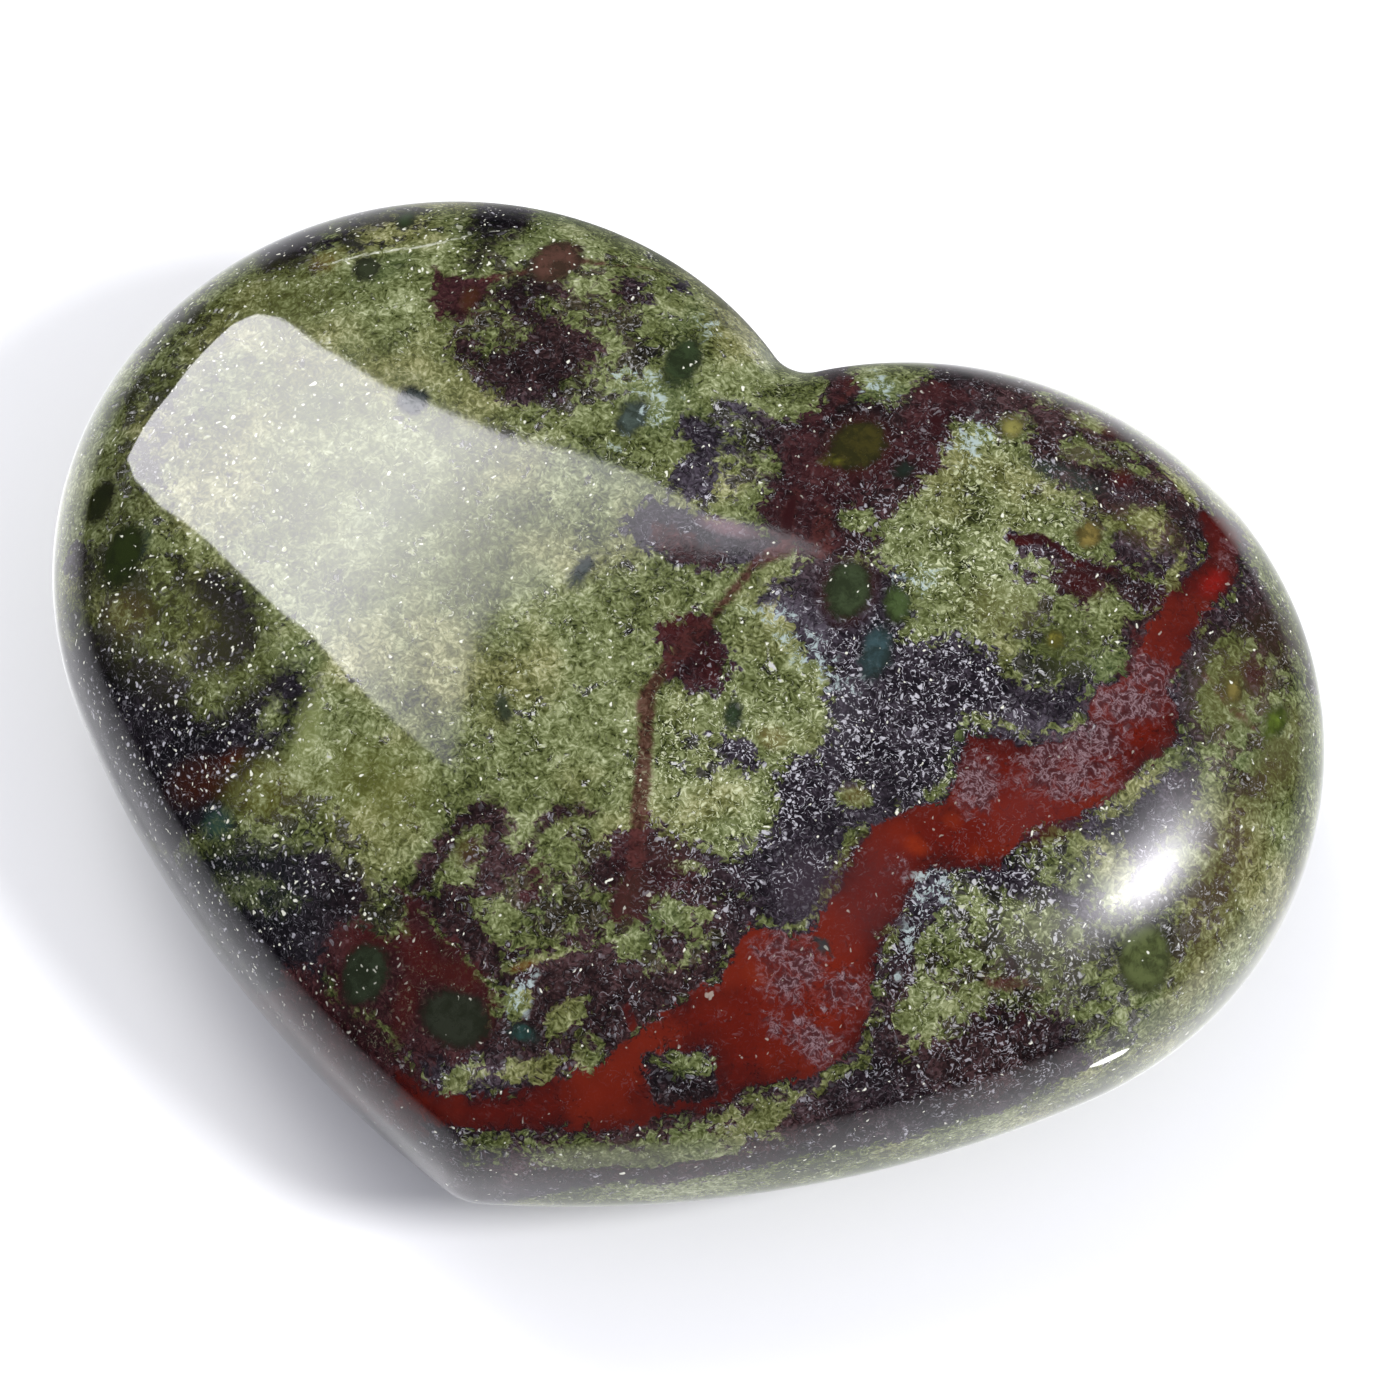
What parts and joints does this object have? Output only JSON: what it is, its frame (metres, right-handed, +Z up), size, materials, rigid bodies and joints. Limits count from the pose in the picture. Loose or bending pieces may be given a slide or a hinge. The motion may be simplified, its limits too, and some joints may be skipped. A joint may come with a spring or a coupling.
{
  "type": "bloodstone heart",
  "caption": "Palm-size heart-shaped stone with two puffy domes, a rounded girdle, a soft notch and a rounded tip, lying flat on its back.",
  "frame": {"origin": "under the middle of the heart, on the surface that it rests on", "axes": "+Z up through the upper dome, +Y from the tip towards the notch between the lobes, +X along the width"},
  "size_m": [0.07, 0.0534, 0.0217],
  "materials": {
    "polished_stone": "mirror polish over mottled olive, black and brick red"
  },
  "bodies": {
    "root": {"heart_stone": "polished_stone"}
  },
  "joints": []
}
